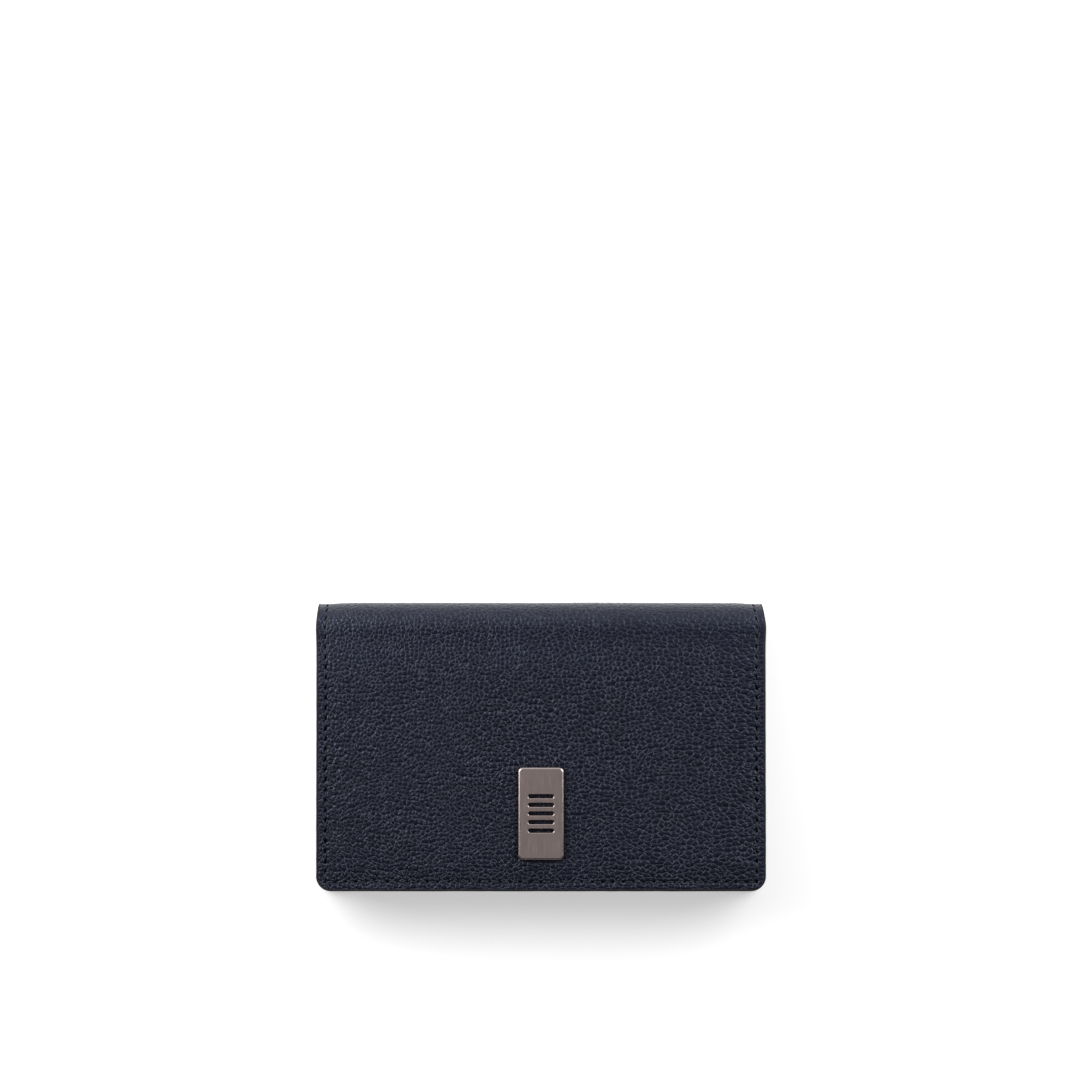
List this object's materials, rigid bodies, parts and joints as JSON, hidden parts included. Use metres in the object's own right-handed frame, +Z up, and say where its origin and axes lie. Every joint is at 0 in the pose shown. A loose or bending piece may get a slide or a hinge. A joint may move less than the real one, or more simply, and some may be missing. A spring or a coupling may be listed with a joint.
{
  "type": "card holder",
  "caption": "Navy pebbled-leather flap card holder with a soft round spine, a gusseted card pocket, two card slots and a plain brushed metal badge over a press snap.",
  "frame": {"origin": "bottom centre of the bounding box, on the outer face of the back wall", "axes": "+X along the width, +Y from the open edge towards the spine, +Z up out of the flap"},
  "size_m": [0.11, 0.0708, 0.0152],
  "materials": {
    "grained_leather": "pebbled calf leather, semi-matt",
    "lining_leather": "smooth fine-grained lining leather, matt",
    "board": "bonded stiffening board, matt",
    "edge_paint": "black-navy edge paint, satin",
    "thread": "waxed polyester thread",
    "snap_metal": "gunmetal-plated, satin",
    "badge_metal": "gunmetal-plated, brushed with polished bevels"
  },
  "bodies": {
    "back": {"back_leather": "grained_leather", "back_board": "board", "back_lining": "lining_leather", "back_edge_paint": "edge_paint", "back_thread": "thread", "gusset": "lining_leather"},
    "front_wall": {"front_wall": "grained_leather", "front_wall_lining": "lining_leather", "front_edge_paint": "edge_paint", "front_thread": "thread", "upper_slot_panel": "grained_leather", "lower_slot_panel": "grained_leather", "snap_stud": "snap_metal", "snap_stud_rivet": "snap_metal"},
    "spine_back": {"spine_back_leather": "grained_leather", "spine_back_interlining": "board", "spine_back_lining": "lining_leather", "spine_back_edge_paint": "edge_paint", "spine_back_thread": "thread"},
    "spine_front": {"spine_front_leather": "grained_leather", "spine_front_interlining": "board", "spine_front_lining": "lining_leather", "spine_front_edge_paint": "edge_paint", "spine_front_thread": "thread"},
    "flap": {"flap_leather": "grained_leather", "flap_board": "board", "flap_lining": "lining_leather", "flap_edge_paint": "edge_paint", "flap_thread": "thread", "snap_socket": "snap_metal", "snap_socket_rivet": "snap_metal", "badge_plate": "badge_metal", "badge_washers": "snap_metal"}
  },
  "joints": [
    {"name": "back_fold", "type": "hinge", "parent": "back", "child": "spine_back", "pos_m": [0, 0.03207, 0.00065], "axis": [-1, 0, 0], "range_deg": [0, 59.4], "deforming": ["spine_back_leather", "spine_back_interlining", "spine_back_lining", "spine_back_edge_paint", "spine_back_thread"]},
    {"name": "spine_fold", "type": "hinge", "parent": "spine_back", "child": "spine_front", "pos_m": [0, 0.03573, 0.007], "axis": [-1, 0, 0], "range_deg": [0, 59.4], "deforming": ["spine_front_leather", "spine_front_interlining", "spine_front_lining", "spine_front_edge_paint", "spine_front_thread"]},
    {"name": "flap_fold", "type": "hinge", "parent": "spine_front", "child": "flap", "pos_m": [0, 0.03207, 0.01335], "axis": [-1, 0, 0], "range_deg": [0, 59.4]},
    {"name": "pocket_opening", "type": "hinge", "parent": "back", "child": "front_wall", "pos_m": [0, -0.0347, 0.0082], "axis": [1, 0, 0], "range_deg": [0, 6], "deforming": ["gusset"]}
  ],
  "couplings": [
    {"joint": "spine_fold", "follows": "back_fold", "ratio": 1},
    {"joint": "flap_fold", "follows": "back_fold", "ratio": 1},
    {"joint": "pocket_opening", "follows": "back_fold", "ratio": 0.1}
  ]
}
